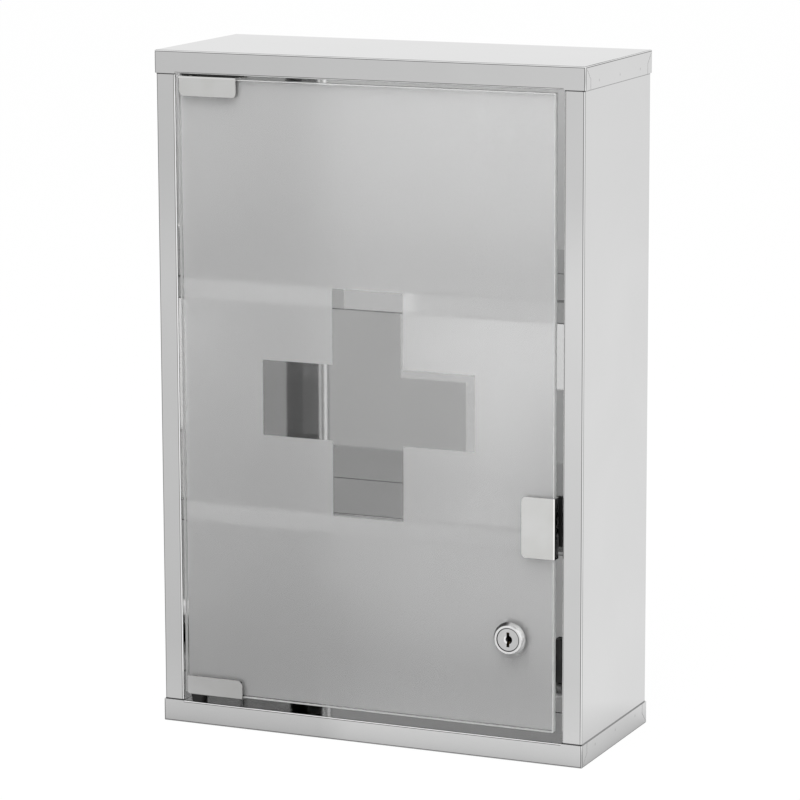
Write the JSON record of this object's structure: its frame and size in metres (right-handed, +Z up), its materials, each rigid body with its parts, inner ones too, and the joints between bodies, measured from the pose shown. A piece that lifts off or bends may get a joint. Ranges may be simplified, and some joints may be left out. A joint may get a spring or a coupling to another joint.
{
  "type": "lockable medicine cabinet",
  "caption": "Flat steel wall cabinet with shelves and a frosted glass door on corner pivots, with a clear cross, a touch latch and a cam lock.",
  "frame": {"origin": "middle of the carcass's footprint, on the underside of the bottom cap", "axes": "+X to the right seen from the front, the door faces -Y, +Z up"},
  "size_m": [0.3, 0.1236, 0.45],
  "materials": {
    "carcass_steel": "bright satin",
    "shelf_steel": "polished",
    "clip_chrome": "satin chrome",
    "lock_chrome": "bright chrome",
    "zinc": "bright zinc plated",
    "spring_wire": "drawn wire",
    "magnet": "nickel plated",
    "brass": "machined",
    "black_plastic": "fine satin",
    "rubber": "matt",
    "glass": "polished, ground edges",
    "frosting": "frosted"
  },
  "bodies": {
    "cabinet": {"top_cap": "carcass_steel", "bottom_cap": "carcass_steel", "side_left": "carcass_steel", "side_right": "carcass_steel", "back_panel": "carcass_steel", "shelf_upper": "shelf_steel", "shelf_lower": "shelf_steel", "hinge_top_bush": "black_plastic", "hinge_plate_screw": "zinc", "hinge_bottom_bush": "black_plastic", "latch_housing": "black_plastic", "latch_spring": "spring_wire", "latch_screws": "zinc", "door_stop_block": "black_plastic", "door_stop_screws": "zinc"},
    "door": {"door_glass": "glass", "frosted_print": "frosting", "hinge_top_clip": "clip_chrome", "hinge_bottom_clip": "clip_chrome", "hinge_top_pin": "zinc", "hinge_bottom_pin": "zinc", "hinge_top_liner": "rubber", "hinge_bottom_liner": "rubber", "hinge_top_screws": "zinc", "hinge_bottom_screws": "zinc", "strike_clip": "clip_chrome", "strike_liner": "rubber", "strike_screws": "zinc", "lock_housing": "lock_chrome", "lock_gasket": "rubber", "lock_nut": "lock_chrome"},
    "lock_cylinder": {"lock_plug": "lock_chrome", "lock_wafers": "brass", "lock_cam": "zinc", "lock_cam_washer": "zinc", "lock_cam_screw": "zinc"},
    "plunger": {"latch_plunger": "black_plastic", "latch_magnet": "magnet"}
  },
  "joints": [
    {"name": "door_hinge", "type": "hinge", "parent": "cabinet", "child": "door", "pos_m": [-0.1255, -0.055, 0.225], "axis": [0, 0, -1], "range_deg": [0, 110]},
    {"name": "lock_turn", "type": "hinge", "parent": "door", "child": "lock_cylinder", "pos_m": [0.1, -0.05, 0.081], "axis": [0, -1, 0], "range_deg": [0, 90]},
    {"name": "latch_plunger_slide", "type": "slide", "parent": "cabinet", "child": "plunger", "axis": [0, -1, 0], "range_m": [0, 0.008], "deforming": ["latch_spring"]}
  ],
  "couplings": [
    {"joint": "latch_plunger_slide", "follows": "door_hinge", "m_per_rad": 0.00416}
  ]
}
